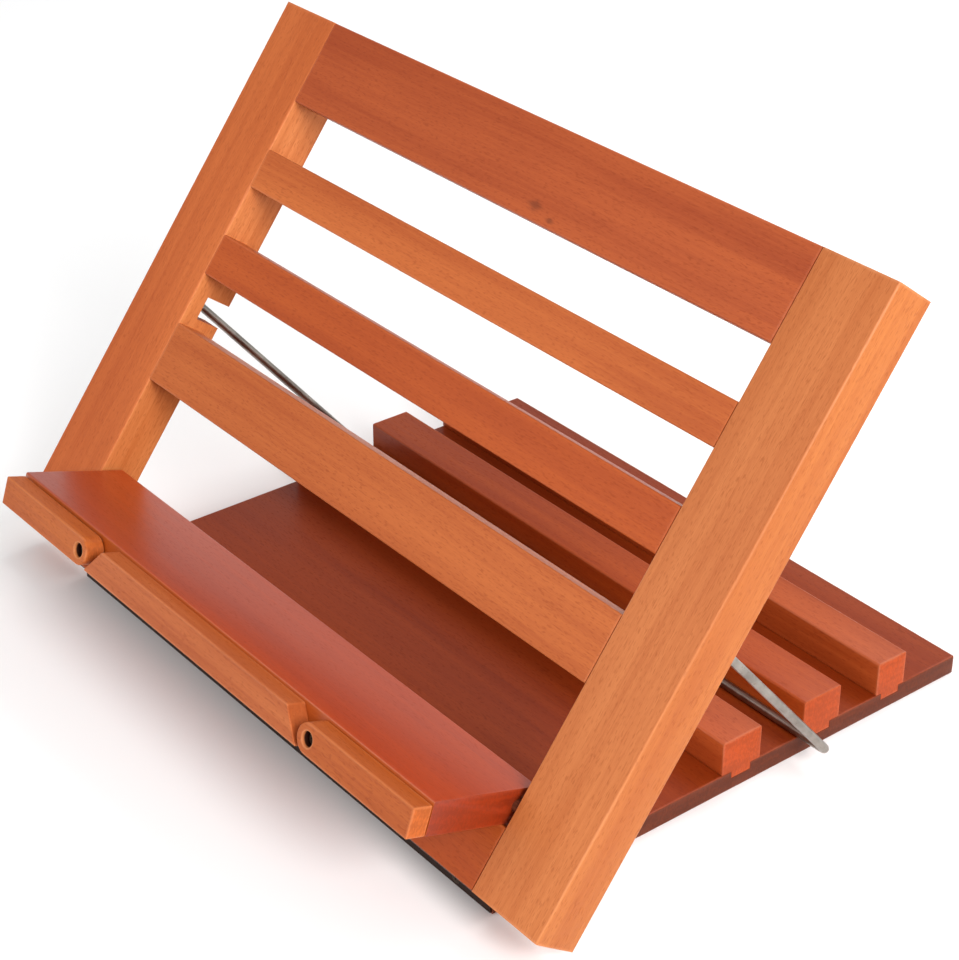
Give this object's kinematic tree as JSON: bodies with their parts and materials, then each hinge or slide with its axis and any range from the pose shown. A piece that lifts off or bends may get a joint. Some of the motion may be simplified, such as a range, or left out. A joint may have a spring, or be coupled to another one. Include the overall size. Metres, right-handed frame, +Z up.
{
  "type": "quran stand",
  "caption": "Folding wooden book stand: slatted page frame hinged to a base board, propped by a wire in cleats, with a ledge and two turning page arms.",
  "frame": {"origin": "middle of the underside of the base board, on the table", "axes": "+Z up, +X to the reader's right, +Y away from the reader towards the back of the base board"},
  "size_m": [0.34, 0.2644, 0.2097],
  "materials": {
    "wood_base": "satin stained beech",
    "wood_cleat": "satin stained beech",
    "wood_stile": "satin stained beech",
    "wood_slat": "satin stained beech",
    "wood_ledge": "satin stained beech",
    "wood_strip": "satin stained beech",
    "dowel_wood": "plain beech",
    "hinge_steel": "dark bronzed steel",
    "screw_steel": "dark bronzed steel",
    "wire_steel": "drawn grey steel wire"
  },
  "bodies": {
    "base": {"base_board": "wood_base", "cleat_front": "wood_cleat", "cleat_middle": "wood_cleat", "cleat_rear": "wood_cleat", "hinge_leaf_base": "hinge_steel", "hinge_pin": "hinge_steel", "hinge_screws_base": "screw_steel"},
    "frame": {"hinge_leaf_frame": "hinge_steel", "hinge_screws_frame": "screw_steel", "stile_left": "wood_stile", "stile_right": "wood_stile", "bottom_rail": "wood_slat", "lower_slat": "wood_slat", "middle_slat": "wood_slat", "upper_slat": "wood_slat", "top_rail": "wood_slat", "dowels_left": "dowel_wood", "dowels_right": "dowel_wood"},
    "prop": {"wire_prop": "wire_steel"},
    "ledge": {"ledge_board": "wood_ledge", "ledge_pin_left": "dowel_wood", "ledge_pin_right": "dowel_wood", "page_block": "wood_strip", "arm_screw_left": "screw_steel", "arm_screw_right": "screw_steel"},
    "arm_left": {"page_arm_left": "wood_strip"},
    "arm_right": {"page_arm_right": "wood_strip"}
  },
  "joints": [
    {"name": "frame_raise", "type": "hinge", "parent": "base", "child": "frame", "pos_m": [0, -0.1166, 0.008], "axis": [1, 0, 0], "range_deg": [0, 36.87]},
    {"name": "prop_swing", "type": "hinge", "parent": "frame", "child": "prop", "pos_m": [0, -0.0456, 0.09975], "axis": [1, 0, 0], "range_deg": [-29.5, 0]},
    {"name": "ledge_fold", "type": "hinge", "parent": "frame", "child": "ledge", "pos_m": [0, -0.10362, 0.04039], "axis": [-1, 0, 0], "range_deg": [0, 108.4]},
    {"name": "arm_right_turn", "type": "hinge", "parent": "ledge", "child": "arm_right", "pos_m": [0.076, -0.14009, 0.05178], "axis": [0, -0.9485, 0.3168], "range_deg": [0, 135]},
    {"name": "arm_left_turn", "type": "hinge", "parent": "ledge", "child": "arm_left", "pos_m": [-0.076, -0.14009, 0.05178], "axis": [0, 0.9485, -0.3168], "range_deg": [0, 135]}
  ],
  "couplings": [
    {"joint": "prop_swing", "follows": "frame_raise", "ratio": -0.8}
  ]
}
